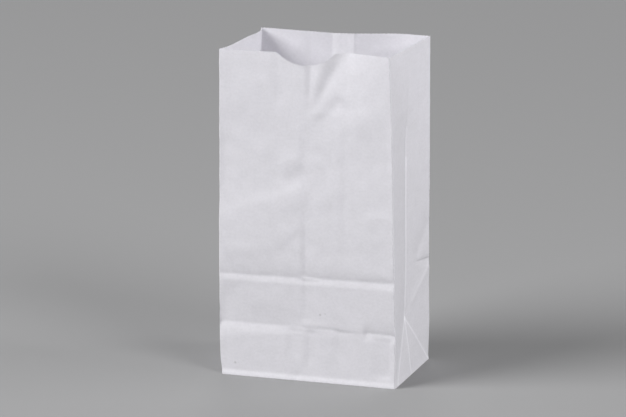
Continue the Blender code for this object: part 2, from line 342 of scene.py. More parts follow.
@dataclass
class Tube:
    """The open tube of paper: its four corner lines, its leans and what is pressed into each wall.

    The leans move the corners at the mouth. The bows bend three corner lines sideways by height, and the rims
    bend two walls out along the mouth, from rim_start up. On all walls but the front, forms fade out over
    edge_fade at the wall's edges.
    """

    width: float = 152.4
    depth: float = 92.1
    height: float = 281.0
    tuck: float = 46.0
    lean_power: float = 1.7
    leans: Curve = ((2.1, -2.9), (-4.6, 4.6), (1.9, 3.3), (7.0, -3.6))
    left_front_bow: Curve = (
        (0, -0.5), (14, -2.0), (33, -2.2), (85, -2.1), (150, -1.1), (222, -0.5), (281, -0.1),
    )
    right_front_bow: Curve = ((0, 0.2), (45, 0.5), (120, 0.4), (230, 0.5), (281, 0.0))
    back_right_bow: Curve = ((0, 1.0), (30, 1.9), (63, 1.7), (188, 1.4), (281, 0.6))
    back_rim: Curve = (
        (0, 0), (13, 1.3), (24, 2.5), (35, 1.6), (45, -1.0), (58, -4.0), (68, -5.8),
        (79, -7.4), (96, -6.0), (119, -3.6), (135, -1.7), (152.4, 0),
    )
    left_rim: Curve = (
        (0, 0), (4.3, -2.6), (8.6, -4.0), (13, -4.4), (22, -5.0), (36, -3.6), (56, -3.3), (68, -3.4),
        (81, -2.6), (92.1, 0),
    )
    rim_start: float = 150.0
    back_rim_power: float = 1.5
    left_rim_power: float = 1.6
    edge_start: float = -0.6
    edge_fade: float = 3.0
    flare: float = 1.15
    flare_height: float = 5.2
    hidden_flare: float = 0.35
    features: dict[Panel, list] = field(default_factory=dict)

    def __post_init__(self) -> None:
        """Lays out the folds and wrinkles of each wall."""
        self.features = {
            Panel.FRONT: self.front_features(),
            Panel.RIGHT: self.right_features(),
            Panel.BACK: self.back_features(),
            Panel.LEFT: self.left_features(),
        }

    def span(self, panel: Panel) -> float:
        """The flat width of a wall."""
        return self.width if panel in (Panel.FRONT, Panel.BACK) else self.depth

    def front_features(self) -> list:
        """The two fold lines over the base, the dent at the mouth and the creases of the flat pack.

        Returns:
            The wall's features.
        """
        return [
            PressedFold((-3, 88.4), (156, 90.4), (0.95, 1.1), 4.6, (5.0, 6.2), 1.1),
            PressedFold((-3, 45.9), (77, 46.8), (1.9, 0.7), 18.0, (11.5, 6.0), 1.2, (0.0, 8.0)),
            PressedFold((70, 46.9), (104, 46.6), (0.4, 0.5), 1.3, (7.0, 7.0), 1.0, (4.0, 0.8)),
            PressedFold((103.5, 45.4), (128, 45.2), (0.22, 0.16), 1.2, (5.0, 5.0), 1.0, (0.8, 3.0)),
            PressedFold((125.2, 46.2), (156, 45.3), (1.25, 1.4), 3.6, (8.0, 7.0), 1.0, (1.4, 0.0)),
            Swell((66, 118), (150, 46), 1.1, 4.0),
            MouthDent(),
            Wrinkle((112, 245.5), (79, 213.5), -1.25, (14.0, 12.0), (5.5, 4.5), (0.2, 0.5)),
            Wrinkle((88, 205), (81, 192), -0.35, (9.0, 8.0), (4.0, 3.0), (0.3, 0.3)),
            Wrinkle((75.8, 236), (75.2, 160), -0.2, (9.0, 9.0), (2.4, 2.4), (0.3, 0.2)),
            Wrinkle((75.8, 176), (75.2, 90), -0.85, (9.0, 9.0), (2.6, 2.3), (0.5, 0.0)),
            Wrinkle((75.6, 88), (75.0, 47), -0.75, (9.0, 9.0), (3.2, 3.0), (0.0, 0.2)),
            Wrinkle((54.0, 283), (52.0, 222), -0.55, (12.0, 14.0), (5.0, 4.5), (0.0, 0.4)),
            Wrinkle((47.2, 222), (46.0, 92), -0.14, (8.0, 8.0), (2.2, 2.2), (0.3, 0.1)),
            Wrinkle((112.5, 283), (108.4, 92), -0.32, (9.0, 9.0), (2.6, 2.2), (0.0, 0.2)),
            Wrinkle((51, 184), (74, 193), 0.5, (4.5, 4.5), (6.5, 5.5), (0.3, 0.1)),
            Wrinkle((53, 168), (76, 181), -0.4, (4.5, 4.0), (8.0, 7.0), (0.4, 0.08)),
            Wrinkle((50.5, 188), (53, 168), -0.25, (7.0, 7.0), (2.6, 2.6), (0.3, 0.3)),
            Wrinkle((-4, 133), (75, 165), 1.0, (10.5, 6.5), (60.0, 40.0), (0.02, 0.05)),
            Wrinkle((54, 137), (75, 145), -0.45, (6.0, 5.5), (15.0, 13.0), (0.4, 0.08)),
            Wrinkle((74, 130), (50, 105), -0.45, (12.0, 12.0), (3.6, 4.0), (0.05, 0.35)),
            Swell((89, 157), (9, 9), 0.6, 0.0),
            Swell((104, 171), (10, 12), 0.55, 0.0),
            Wrinkle((107, 158), (110, 150), -0.28, (2.0, 2.0), (2.0, 2.0), (0.3, 0.3)),
            Wrinkle((124, 143), (154, 146.5), 0.55, (3.6, 4.2), (6.0, 7.0), (0.4, 0.0)),
            Wrinkle((147.5, 258), (147.0, 94), -0.34, (3.4, 3.4), (14.0, 14.0), (0.25, 0.05)),
            Wrinkle((-2, 166.8), (11, 170), 0.22, (1.6, 1.6), (6.0, 5.0), (0.0, 0.6)),
            Wrinkle((4.6, 232), (4.4, 158), -0.7, (14.0, 12.0), (3.2, 3.0), (0.45, 0.15)),
            Wrinkle((5.6, 84), (5.2, 38), -0.95, (14.0, 14.0), (3.6, 3.4), (0.35, 0.5)),
            Wrinkle((133, 137), (153, 149), -0.3, (4.0, 3.0), (5.0, 4.0), (0.5, 0.0)),
            Wrinkle((64.0, 46), (62.5, 14), -0.6, (9.0, 9.0), (3.6, 4.0), (0.1, 0.6)),
            Wrinkle((79.5, 46), (77.0, 2), -0.75, (8.0, 8.0), (3.6, 4.0), (0.1, 0.4)),
            Wrinkle((104.5, 47), (103.0, 14), -0.65, (9.0, 9.0), (3.4, 4.0), (0.05, 0.6)),
            Wrinkle((147.0, 44), (146.5, 4), -1.0, (3.6, 3.6), (13.0, 13.0), (0.15, 0.2)),
            Swell((40, 66), (12, 7), 0.3, 0.0),
            Swell((66, 3), (2.5, 4), -0.6, 0.0),
            Swell((137, 268), (13, 18), 0.3, 0.0),
            Swell((22, 246), (18, 10), 0.5, 20.0),
            Swell((34, 214), (20, 9), -0.42, -12.0),
            Swell((128, 226), (20, 11), 0.45, 20.0),
            Swell((132, 190), (16, 12), -0.42, 10.0),
            Swell((24, 112), (24, 8), 0.45, 6.0),
            Swell((122, 112), (22, 8), -0.4, -6.0),
        ]

    def gusset(self, low: dict[str, tuple], webs: list[tuple[str, str, str]], spine: Curve) -> Facets:
        """The facets of a tucked gusset, with two strips of them up the sides of its centre fold.

        Args:
            low: the corners that lie below the strips.
            webs: the triangles there. The strips' lowest corners are "spine 0", "near 0" and "far 0".
            spine: the height and the depth of places up the centre fold.

        Returns:
            The facets, between the wall's near edge (s = 0) and its far edge.
        """
        corners = {"near foot": (0, 0, 0), "foot": (self.tuck, 0, 0), "far foot": (self.depth, 0, 0), **low}
        triangles = [("near foot", "foot", "apex"), ("foot", "far foot", "apex"), *webs]
        for n, (z, depth) in enumerate(spine):
            corners[f"spine {n}"] = (self.tuck, z, depth)
            corners[f"near {n}"] = (0, z, 0)
            corners[f"far {n}"] = (self.depth, z, 0)
        for n in range(len(spine) - 1):
            triangles += [
                (f"near {n}", f"spine {n}", f"spine {n + 1}"),
                (f"near {n}", f"spine {n + 1}", f"near {n + 1}"),
                (f"spine {n}", f"far {n}", f"far {n + 1}"),
                (f"spine {n}", f"far {n + 1}", f"spine {n + 1}"),
            ]
        return Facets(corners, triangles)

    def right_features(self) -> list:
        """The gusset on the right: its centre fold, the apex over the base and the fan of folds below it.

        Returns:
            The wall's features.
        """
        low = {
            "apex": (self.tuck, 48.5, 7.4),
            "near": (0, 48.5, 0),
            "far": (self.depth, 90, 0),
            "fan": (64, 92, 4.0),
        }
        webs = [
            ("near foot", "apex", "near"), ("far foot", "far", "apex"), ("far", "fan", "apex"),
            ("apex", "fan", "spine 0"), ("near", "apex", "spine 0"), ("near", "spine 0", "near 0"),
            ("far", "far 0", "fan"), ("fan", "far 0", "spine 0"),
        ]
        spine = ((98, 6.0), (150, 5.9), (200, 5.6), (216, 4.4), (236, 2.4), (256, 1.4), (281, 0.5))
        return [
            self.gusset(low, webs, spine),
            Wrinkle((46.8, 222), (46.4, 52), 0.55, (1.8, 1.6), (1.0, 0.9), (0.35, 0.05)),
            Wrinkle((46, 281), (46, 206), -0.16, (1.8, 1.8), (1.8, 1.8), (0.0, 0.2)),
            PressedFold((60, 93), (94, 89.6), (0.5, 1.6), 2.0, (5.0, 8.0), 1.1, (10.0, 0.0)),
            Wrinkle((94, 121), (63, 93), -1.3, (5.5, 5.5), (10.0, 9.0), (0.0, 0.25)),
            Wrinkle((93, 84), (52, 56), 0.8, (4.5, 4.0), (4.5, 4.0), (0.1, 0.3)),
            Wrinkle((46, 47), (44.5, 3), 0.4, (1.5, 1.5), (1.5, 1.5), (0.1, 0.1)),
            Wrinkle((45, 46), (8, 3), 0.35, (1.4, 1.4), (1.4, 1.4), (0.1, 0.1)),
            Wrinkle((47, 46), (90, 2), 0.4, (1.4, 1.4), (1.4, 1.4), (0.1, 0.1)),
        ]

    def left_features(self) -> list:
        """The gusset on the left, seen only from its inner side and from behind.

        Returns:
            The wall's features.
        """
        low = {
            "apex": (self.tuck, 47.5, 7.6),
            "near": (0, 90, 0),
            "fan": (28, 92, 4.2),
            "far": (self.depth, 47.5, 0),
        }
        webs = [
            ("far foot", "far", "apex"), ("near foot", "apex", "near"), ("near", "apex", "fan"),
            ("fan", "apex", "spine 0"), ("far", "far 0", "apex"), ("apex", "far 0", "spine 0"),
            ("near", "fan", "near 0"), ("fan", "spine 0", "near 0"),
        ]
        return [
            self.gusset(low, webs, ((98, 6.6), (150, 6.4), (200, 5.2), (240, 3.4), (281, 0.0))),
            Wrinkle((46, 270), (46, 52), -0.3, (1.8, 1.8), (1.8, 1.8), (0.3, 0.05)),
            PressedFold((-2, 89.6), (30, 92.5), (0.9, 0.3), 1.6, (5.5, 5.0), 1.1, (0.0, 8.0)),
        ]

    def back_features(self) -> list:
        """The back, which was outside when the base was folded up, so its fold lines are faint.

        Returns:
            The wall's features.
        """
        return [
            PressedFold((-3, 46.2), (156, 46.2), (0.35, 0.35), 1.4, (4.5, 4.5), 1.1),
            PressedFold((-3, 92.0), (156, 92.0), (0.28, 0.28), 1.8, (5.0, 5.0), 1.1),
            Wrinkle((46, 281), (46, 94), 0.22, (3.0, 3.0), (3.0, 3.0), (0.0, 0.3)),
            Wrinkle((106.4, 281), (106.4, 94), 0.22, (3.0, 3.0), (3.0, 3.0), (0.0, 0.3)),
            Wrinkle((76.2, 262), (76.2, 94), -0.22, (3.0, 3.0), (3.0, 3.0), (0.2, 0.2)),
            Swell((58, 150), (60, 70), 0.9, 15.0),
            Swell((112, 200), (34, 30), -0.6, -20.0),
            Swell((30, 216), (26, 24), 0.5, 35.0),
        ]

    def corner(self, index: int, z: Array) -> Array:
        """A corner line of the tube.

        Args:
            index: 0 to 3, counter-clockwise from the front left.
            z: heights.

        Returns:
            The line's x and y at each height, as an array of pairs.
        """
        index %= 4
        half = np.array([(-1, -1), (1, -1), (1, 1), (-1, 1)][index]) * (self.width / 2, self.depth / 2)
        share = (np.clip(z, 0.0, None) / self.height) ** self.lean_power
        out = half[None, :] + share[:, None] * np.array(self.leans[index])[None, :]
        bows = (self.left_front_bow, self.right_front_bow, self.back_right_bow, None)
        if bows[index]:
            out[:, 0] += knots(z, bows[index])
        return out

    def relief(self, panel: Panel, s: Array, z: Array) -> Array:
        """How far a wall stands out from the flat between its two corner lines.

        Args:
            panel: the wall.
            s: distances from its first corner.
            z: heights.

        Returns:
            The distance outwards at each place.
        """
        total = np.zeros_like(s)
        for feature in self.features[panel]:
            total = total + feature.lift(s, z)
        flare = self.flare * ease(1 - z / self.flare_height)
        if panel is Panel.FRONT:
            return total + flare
        edge = np.minimum(s, self.span(panel) - s)
        total *= ease((edge - self.edge_start) / self.edge_fade)
        up = np.clip((z - self.rim_start) / (self.height - self.rim_start), 0.0, 1.0)
        if panel is Panel.BACK:
            total = total + knots(s, self.back_rim) * up**self.back_rim_power
        if panel is Panel.LEFT:
            total = total + knots(s, self.left_rim) * up**self.left_rim_power
        return total + flare * self.hidden_flare

    def place(self, panel: Panel, s: Array, z: Array) -> tuple[Array, Array]:
        """Where each place of a wall lies.

        Args:
            panel: the wall.
            s: distances from its first corner.
            z: heights.

        Returns:
            The places, and the directions that point straight out of the wall there.
        """
        a, b = self.corner(panel.value, z), self.corner(panel.value + 1, z)
        chord = b - a
        length = np.hypot(chord[:, 0], chord[:, 1])
        out = np.stack([chord[:, 1] / length, -chord[:, 0] / length], axis=1)
        flat = a + chord * (s / self.span(panel))[:, None] + out * self.relief(panel, s, z)[:, None]
        zero = np.zeros_like(z)
        return np.column_stack([flat, z]), np.column_stack([out, zero])


@dataclass
class FoldedSheet:
    """The sheet of paper that is folded and glued into the bag, as one surface with its laps.

    It is laid out point by point: verts are their places, outs the directions straight out of the paper, runs
    and climbs their run and rise on the flat sheet, and mouths is 1 on the cut edge and 0 elsewhere.
    notch_ends and seam_step say how far past its edge a form reaches, and over how much it fades there.
    Columns of the mesh stand at least least_gap apart, and a cell is thin where one diagonal is under
    thin_cell of the other.
    """

    tube: Tube
    thickness: float = 0.1
    glue_gap: float = 0.02
    seam_lap: float = 19.0
    base_lap: float = 15.0
    tooth_pitch: float = 3.175
    tooth_depth: float = 0.5
    corner_reach: float = 1.2
    notch_centre: float = 77.5
    notch_width: float = 51.0
    notch_depth: float = 10.5
    notch_soft: float = 1.6
    notch_ends: Pair = (5.0, 8.0)
    rim_rise: Curve = ((97, 0), (114, 0.7), (129, 0.65), (139, 0.3), (152.4, 0))
    mouth_band: float = 17.0
    mouth_rows: int = 7
    seam_step: Pair = (1.6, 1.4)
    lap_step: float = 3.0
    end_inset: float = 0.2
    lowest_row: float = 0.12
    least_gap: float = 0.3
    thin_cell: float = 0.3
    verts: list = field(default_factory=list)
    outs: list = field(default_factory=list)
    runs: list = field(default_factory=list)
    mouths: list = field(default_factory=list)
    climbs: list = field(default_factory=list)
    faces: list = field(default_factory=list)

    @property
    def flap_length(self) -> float:
        """How far each base flap reaches in from its wall."""
        return self.tube.depth / 2 + self.base_lap / 2

    @property
    def layer(self) -> float:
        """From the middle of one sheet to the middle of the next in a glued stack."""
        return self.thickness + self.glue_gap

    def stations(self, length: float, coarse: bool) -> Array:
        """Places across a wall where the mesh has a column: at every half tooth, and closer at its corners.

        Args:
            length: the wall's width.
            coarse: True for whole teeth only, as in the base.

        Returns:
            Distances from the wall's first corner, rising, both corners included.
        """
        teeth = round(length / self.tooth_pitch)
        pitch = length / teeth
        half = {round(k * pitch, 4) for k in range(teeth // 2 + 1)}
        if not coarse:
            half |= {round((k + 0.5) * pitch, 4) for k in range(teeth // 2 + 1)}
        half |= {round(v, 4) for v in (self.corner_reach / 2, self.corner_reach, self.flap_length)}
        near = sorted(v for v in half if v <= length / 2 + TINY)
        kept = (round(self.flap_length, 4), round(length / 2, 4))
        merged = [near[0]]
        for v in near[1:]:
            if v - merged[-1] > self.least_gap or v in kept:
                merged.append(v)
        return np.array(sorted(set(merged) | {round(length - v, 4) for v in merged}))

    def rises(self) -> Array:
        """Heights of the mesh's rows below the mouth's own band: close together at the folds.

        Returns:
            The heights, rising.
        """
        bands = (
            (0.0, 5.0, 1.0), (5.0, 11.0, 1.5), (11.0, 38.0, 3.0), (38.0, 56.0, 1.2), (56.0, 80.0, 3.0),
            (80.0, 100.0, 1.25), (100.0, self.tube.height - self.mouth_band, 3.0),
        )
        rows = {0.0, 0.6}
        for low, high, step in bands:
            count = max(1, round((high - low) / step))
            rows |= {round(low + (high - low) * k / count, 4) for k in range(count + 1)}
        return np.array(sorted(rows))

    def notch(self, s: Array) -> Array:
        """The depth of the thumb notch: a shallow arc with soft ends.

        Args:
            s: distances along the front's rim.

        Returns:
            The depth at each place.
        """
        half = self.notch_width / 2
        radius = (half**2 + self.notch_depth**2) / (2 * self.notch_depth)
        aside = np.minimum(np.abs(s - self.notch_centre), radius)
        arc = np.sqrt(radius**2 - aside**2) - (radius - self.notch_depth)
        past, fade = self.notch_ends
        return 0.5 * (arc + np.sqrt(arc**2 + self.notch_soft)) * ease((half + past - aside) / fade)

    def add(self, place: Array, out: Array, run: Array, rise: Array, mouth: float) -> list[int]:
        """Adds a stretch of points.

        Args:
            place: where they lie.
            out: the directions straight out of the paper.
            run: their distances along the flat sheet's girth.
            rise: their distances up the flat sheet.
            mouth: 1 for the cut edge, or else 0.

        Returns:
            The points' numbers.
        """
        first = len(self.verts)
        self.verts.extend(place.tolist())
        self.outs.extend(out.tolist())
        self.runs.extend(run)
        self.mouths.extend([mouth] * len(place))
        self.climbs.extend(rise)
        return list(range(first, len(self.verts)))

    def strips(self) -> list[tuple[Panel, float, float, float]]:
        """The sheet's walls in the order of its girth.

        The girth starts with the seam's outer layer on the back and ends with its inner layer.

        Returns:
            For each strip its wall, its first and last s, and which side of the wall's surface it lies on at
            the seam, in layers.
        """
        back = self.tube.span(Panel.BACK)
        outer_end, inner_end = (back + self.seam_lap) / 2, (back - self.seam_lap) / 2
        return [
            (Panel.BACK, outer_end, 0.0, 0.5),
            (Panel.RIGHT, self.tube.depth, 0.0, 0.0),
            (Panel.FRONT, self.tube.width, 0.0, 0.0),
            (Panel.LEFT, self.tube.depth, 0.0, 0.0),
            (Panel.BACK, back, inner_end, -0.5),
        ]

    def columns(self, coarse: bool) -> list[tuple[int, Array, Array]]:
        """The columns of each strip.

        Args:
            coarse: True for the base, which has a column at whole teeth only.

        Returns:
            For each strip its number, its columns' s, and their run along the sheet.
        """
        out, start = [], 0.0
        for number, (panel, first, last, _) in enumerate(self.strips()):
            low, high = min(first, last), max(first, last)
            s = self.stations(self.tube.span(panel), coarse)
            s = s[(s > low - TINY) & (s < high + TINY)]
            s = np.unique(np.concatenate([s, [low, high]]).round(4))[::-1]
            out.append((number, s, start + (s[0] - s)))
            start += high - low
        return out

    def seam_lift(self, panel: Panel, s: Array, side: float) -> Array:
        """How far a layer of the glued seam is moved off the wall's own surface.

        Args:
            panel: the wall.
            s: distances from its first corner.
            side: the side it lies on, in layers.

        Returns:
            The move outwards at each place, 0 away from the seam.
        """
        if panel is not Panel.BACK or not side:
            return np.zeros_like(s)
        past, fade = self.seam_step
        middle, half = self.tube.span(panel) / 2, self.seam_lap / 2
        inside = ease((half + past - np.abs(s - middle)) / fade)
        return side * self.layer * inside

    def wall_row(self, z_of: Callable[[Panel, Array], Array], mouth: float) -> tuple[list[int], Array]:
        """Adds one row of the walls.

        Args:
            z_of: gives the height of each column from the panel and its s.
            mouth: 1 for the rim, which is cut into teeth, or else 0.

        Returns:
            The row's point numbers and their runs.
        """
        ids, runs = [], []
        for number, s, run in self.columns(coarse=False):
            panel, _, _, side = self.strips()[number]
            z = z_of(panel, s)
            place, out = self.rounded(panel, s, z)
            place = place + out * self.seam_lift(panel, s, side)[:, None]
            skip = 1 if number else 0
            ids += self.add(place[skip:], out[skip:], run[skip:], place[skip:, 2], mouth)
            runs += list(run[skip:])
        return ids, np.array(runs)

    def rounded(self, panel: Panel, s: Array, z: Array) -> tuple[Array, Array]:
        """Places on a wall, with the tube's corners rounded to the small radius of a pressed fold.

        Args:
            panel: the wall.
            s: distances from its first corner.
            z: heights.

        Returns:
            The places, and the directions straight out of the wall.
        """
        place, out = self.tube.place(panel, s, z)
        reach = self.corner_reach
        span = self.tube.span(panel)
        for at_end in (False, True):
            edge = (span - s) if at_end else s
            near = edge < reach - TINY
            if not near.any():
                continue
            count = int(near.sum())
            other = Panel((panel.value + (1 if at_end else -1)) % 4)
            far = np.full(count, reach)
            here, _ = self.tube.place(panel, span - far if at_end else far, z[near])
            there, _ = self.tube.place(other, far if at_end else self.tube.span(other) - far, z[near])
            tip, _ = self.tube.place(panel, np.full(count, span) if at_end else np.zeros(count), z[near])
            t = ((edge[near] + reach) / (2 * reach))[:, None]
            place[near] = (1 - t) ** 2 * there + 2 * t * (1 - t) * tip + t**2 * here
        return place, out

    def base_levels(self, panel: Panel, y: Array, web: Array) -> Array:
        """Heights of the middle of the sheet in the base's glued stack.

        The back flap is outermost, then the front flap, and the two side ends lie on top, inside the bag.

        Args:
            panel: the wall that the place of the sheet belongs to.
            y: places from front to back.
            web: 1 where the place lies in a web that folds in with a side end, or else 0.

        Returns:
            The heights.
        """
        low = self.thickness / 2
        middle = ease((self.base_lap / 2 + self.lap_step - np.abs(y)) / self.lap_step)
        if panel is Panel.BACK:
            return low + self.layer * web
        if panel is Panel.FRONT:
            return low + self.layer * (web + 2.0 * middle)
        return low + self.layer * (2.0 + 2.0 * middle)

    def base_row(self, deep: float) -> tuple[list[int], Array]:
        """Adds one row of the folded base.

        Args:
            deep: how far it lies in from the walls' feet along the sheet.

        Returns:
            The row's point numbers and their runs.
        """
        half_w, half_d = self.tube.width / 2, self.tube.depth / 2
        ids, runs = [], []
        for number, s, run in self.columns(coarse=True):
            panel, _, _, side = self.strips()[number]
            skip = 1 if number else 0
            if panel in (Panel.FRONT, Panel.BACK):
                sign = -1.0 if panel is Panel.FRONT else 1.0
                x = (s - half_w) * -sign
                web = (np.abs(x) > half_w - deep + TINY).astype(float)
                edge = half_w - np.abs(x)
                px = np.where(web > 0, np.sign(x) * (half_w - deep), x)
                py = sign * (half_d - np.where(web > 0, edge, deep))
                z = self.base_levels(panel, py, web) + self.seam_lift(panel, s, -side)
                for beside_fold in (np.abs(np.abs(x) - (half_w - deep)), edge):
                    z = np.where(beside_fold < CLOSE, z + self.layer / 2, z)
            else:
                sign = 1.0 if panel is Panel.RIGHT else -1.0
                y = (s - half_d) * sign
                px = np.full_like(s, sign * (half_w - deep))
                py = np.clip(y, self.end_inset - half_d, half_d - self.end_inset)
                z = self.base_levels(panel, py, np.zeros_like(s))
            place = np.column_stack([px, py, z])
            out = np.zeros_like(place)
            ids += self.add(place[skip:], out[skip:], run[skip:], np.full(len(s) - skip, -deep), 0.0)
            runs += list(run[skip:])
        return ids, np.array(runs)

    def join(self, low: tuple[list[int], Array], high: tuple[list[int], Array]) -> None:
        """Fills between two rows, of which one may have more columns than the other.

        Args:
            low: the point numbers and the runs of the lower row.
            high: those of the upper row.
        """
        (low_ids, low_runs), (high_ids, high_runs) = low, high
        shared = np.intersect1d(low_runs.round(3), high_runs.round(3))
        at_low = np.searchsorted(low_runs.round(3), shared)
        at_high = np.searchsorted(high_runs.round(3), shared)
        for k in range(len(shared) - 1):
            bottom = low_ids[at_low[k] : at_low[k + 1] + 1]
            top = high_ids[at_high[k] : at_high[k + 1] + 1]
            self.cell(top + bottom[::-1])

    def cell(self, ring: list[int]) -> None:
        """Adds one cell, split along its longer diagonal where the sheet folds over itself inside it.

        Args:
            ring: the numbers of the points round it.
        """
        if len(ring) == 4:
            a, b, c, d = (Vector(self.verts[n]) for n in ring)
            first, second = (a - c).length, (b - d).length
            if min(first, second) < self.thin_cell * max(first, second):
                turned = ring if first > second else ring[1:] + ring[:1]
                self.faces += [turned[:3], [turned[0], turned[2], turned[3]]]
                return
        self.faces.append(ring)

    def band_height(self, panel: Panel, s: Array, share: float) -> Array:
        """The heights of one row of the mouth's band.

        Args:
            panel: the wall.
            s: distances from its first corner.
            share: how far up the band the row lies, 1 at the rim.

        Returns:
            The row's height at each place.
        """
        floor = self.tube.height - self.mouth_band
        rim = np.full_like(s, self.tube.height)
        if panel is Panel.FRONT:
            rim = rim - self.notch(s) + knots(s, self.rim_rise)
        return floor + (rim - floor) * share

    def lay_out(self) -> None:
        """Builds every row from the free ends of the base flaps up to the mouth."""
        depths = [v for v in self.stations(self.tube.width, True) if v <= self.flap_length + TINY]
        rows = [self.base_row(float(v)) for v in depths[:0:-1]]
        for z in self.rises():
            level = max(float(z), self.lowest_row)
            rows.append(self.wall_row(lambda _, s, level=level: np.full_like(s, level), 0.0))
        for k in range(1, self.mouth_rows + 1):
            height = partial(self.band_height, share=k / self.mouth_rows)
            rows.append(self.wall_row(height, 1.0 if k == self.mouth_rows else 0.0))
        for low, high in zip(rows, rows[1:]):
            self.join(low, high)

    def mesh(self) -> bpy.types.Mesh:
        """The laid-out sheet as a mesh, with its run, rise, mouth and outward direction as attributes.

        Returns:
            The mesh, in metres.
        """
        self.lay_out()
        mesh = bpy.data.meshes.new("sheet")
        mesh.from_pydata((np.array(self.verts) * MM).tolist(), [], self.faces)
        for name, kind, values in (
            ("run", "FLOAT", np.array(self.runs) * MM),
            ("rise", "FLOAT", np.array(self.climbs) * MM),
            ("mouth", "FLOAT", np.array(self.mouths)),
            ("outward", "FLOAT_VECTOR", np.array(self.outs)),
        ):
            attribute = mesh.attributes.new(name, kind, "POINT")
            key = "vector" if kind == "FLOAT_VECTOR" else "value"
            attribute.data.foreach_set(key, values.astype(np.float32).ravel())
        return mesh


class Graph:
    """Adds nodes to a node tree and links them."""

    def __init__(self, tree: bpy.types.NodeTree) -> None:
        """Takes the tree that the nodes go into."""
        self.tree = tree

    def add(self, kind: str, feeds: dict | None = None, **settings: object) -> bpy.types.Node:
        """Adds a node.

        Args:
            kind: the node's type.
            feeds: values or sockets for its inputs, by name or number.
            settings: the node's own options.

        Returns:
            The new node.
        """
        node = self.tree.nodes.new(kind)
        for key, value in settings.items():
            setattr(node, key, value)
        for key, value in (feeds or {}).items():
            if isinstance(value, bpy.types.NodeSocket):
                self.tree.links.new(value, node.inputs[key])
            else:
                node.inputs[key].default_value = value
        return node

    def math(self, operation: str, *values: object) -> bpy.types.NodeSocket:
        """The result of one sum on numbers."""
        return self.add("ShaderNodeMath", dict(enumerate(values)), operation=operation).outputs[0]

    def vector(self, operation: str, feeds: dict, output: int | str = 0) -> bpy.types.NodeSocket:
        """The result of one sum on vectors."""
        return self.add("ShaderNodeVectorMath", feeds, operation=operation).outputs[output]


class Shape(Graph):
    """A geometry node tree, from its named inputs to its last two nodes."""

    def __init__(self, name: str, sizes: tuple[str, ...]) -> None:
        """Starts a tree with a geometry input and output.

        Args:
            name: the tree's name.
            sizes: the names of its inputs, beside the geometry and the material.
        """
        super().__init__(bpy.data.node_groups.new(name, "GeometryNodeTree"))
        self.tree.is_modifier = True
        sockets = self.tree.interface
        sockets.new_socket("Geometry", in_out="INPUT", socket_type="NodeSocketGeometry")
        sockets.new_socket("Geometry", in_out="OUTPUT", socket_type="NodeSocketGeometry")
        for size in sizes:
            sockets.new_socket(size, in_out="INPUT", socket_type="NodeSocketFloat")
        sockets.new_socket("Paper", in_out="INPUT", socket_type="NodeSocketMaterial")
        self.inputs = self.tree.nodes.new("NodeGroupInput")

    def given(self, name: str) -> bpy.types.NodeSocket:
        """The socket that brings a named input."""
        return self.inputs.outputs[name]

    def stored(self, name: str, kind: str = "FLOAT") -> bpy.types.NodeSocket:
        """The socket that reads an attribute of the mesh."""
        return self.add("GeometryNodeInputNamedAttribute", {"Name": name}, data_type=kind).outputs[0]

    def end(self, offset: bpy.types.NodeSocket) -> bpy.types.NodeTree:
        """Moves the geometry's points, realizes instances, sets the material and ends the tree.

        Args:
            offset: the socket that brings each point's move.

        Returns:
            The whole tree.
        """
        moved = self.add("GeometryNodeSetPosition", {"Geometry": self.given("Geometry"), "Offset": offset})
        real = self.add("GeometryNodeRealizeInstances", {0: moved.outputs[0]})
        feeds = {"Geometry": real.outputs[0], "Material": self.given("Paper")}
        dressed = self.add("GeometryNodeSetMaterial", feeds)
        self.add("NodeGroupOutput", {0: dressed.outputs[0]})
        return self.tree


@dataclass
class RimTeeth:
    """The saw-toothed edge that the cutting knife leaves round the mouth."""

    pitch: float
    depth: float

    def tree(self) -> bpy.types.NodeTree:
        """Moves the rim down by a zigzag that follows the sheet's own run.

        Returns:
            The tree.
        """
        t = Shape("toothed_edge", ("Tooth Pitch", "Tooth Depth"))
        half = t.math("MULTIPLY", t.given("Tooth Pitch"), 0.5)
        wave = t.math("DIVIDE", t.math("PINGPONG", t.stored("run"), half), half)
        drop = t.math("MULTIPLY", t.math("MULTIPLY", wave, t.given("Tooth Depth")), t.stored("mouth"))
        down = t.add("ShaderNodeCombineXYZ", {2: t.math("MULTIPLY", drop, -1.0)})
        return t.end(down.outputs[0])

    def values(self) -> dict:
        """The tree's inputs."""
        return {"Tooth Pitch": self.pitch * MM, "Tooth Depth": self.depth * MM}


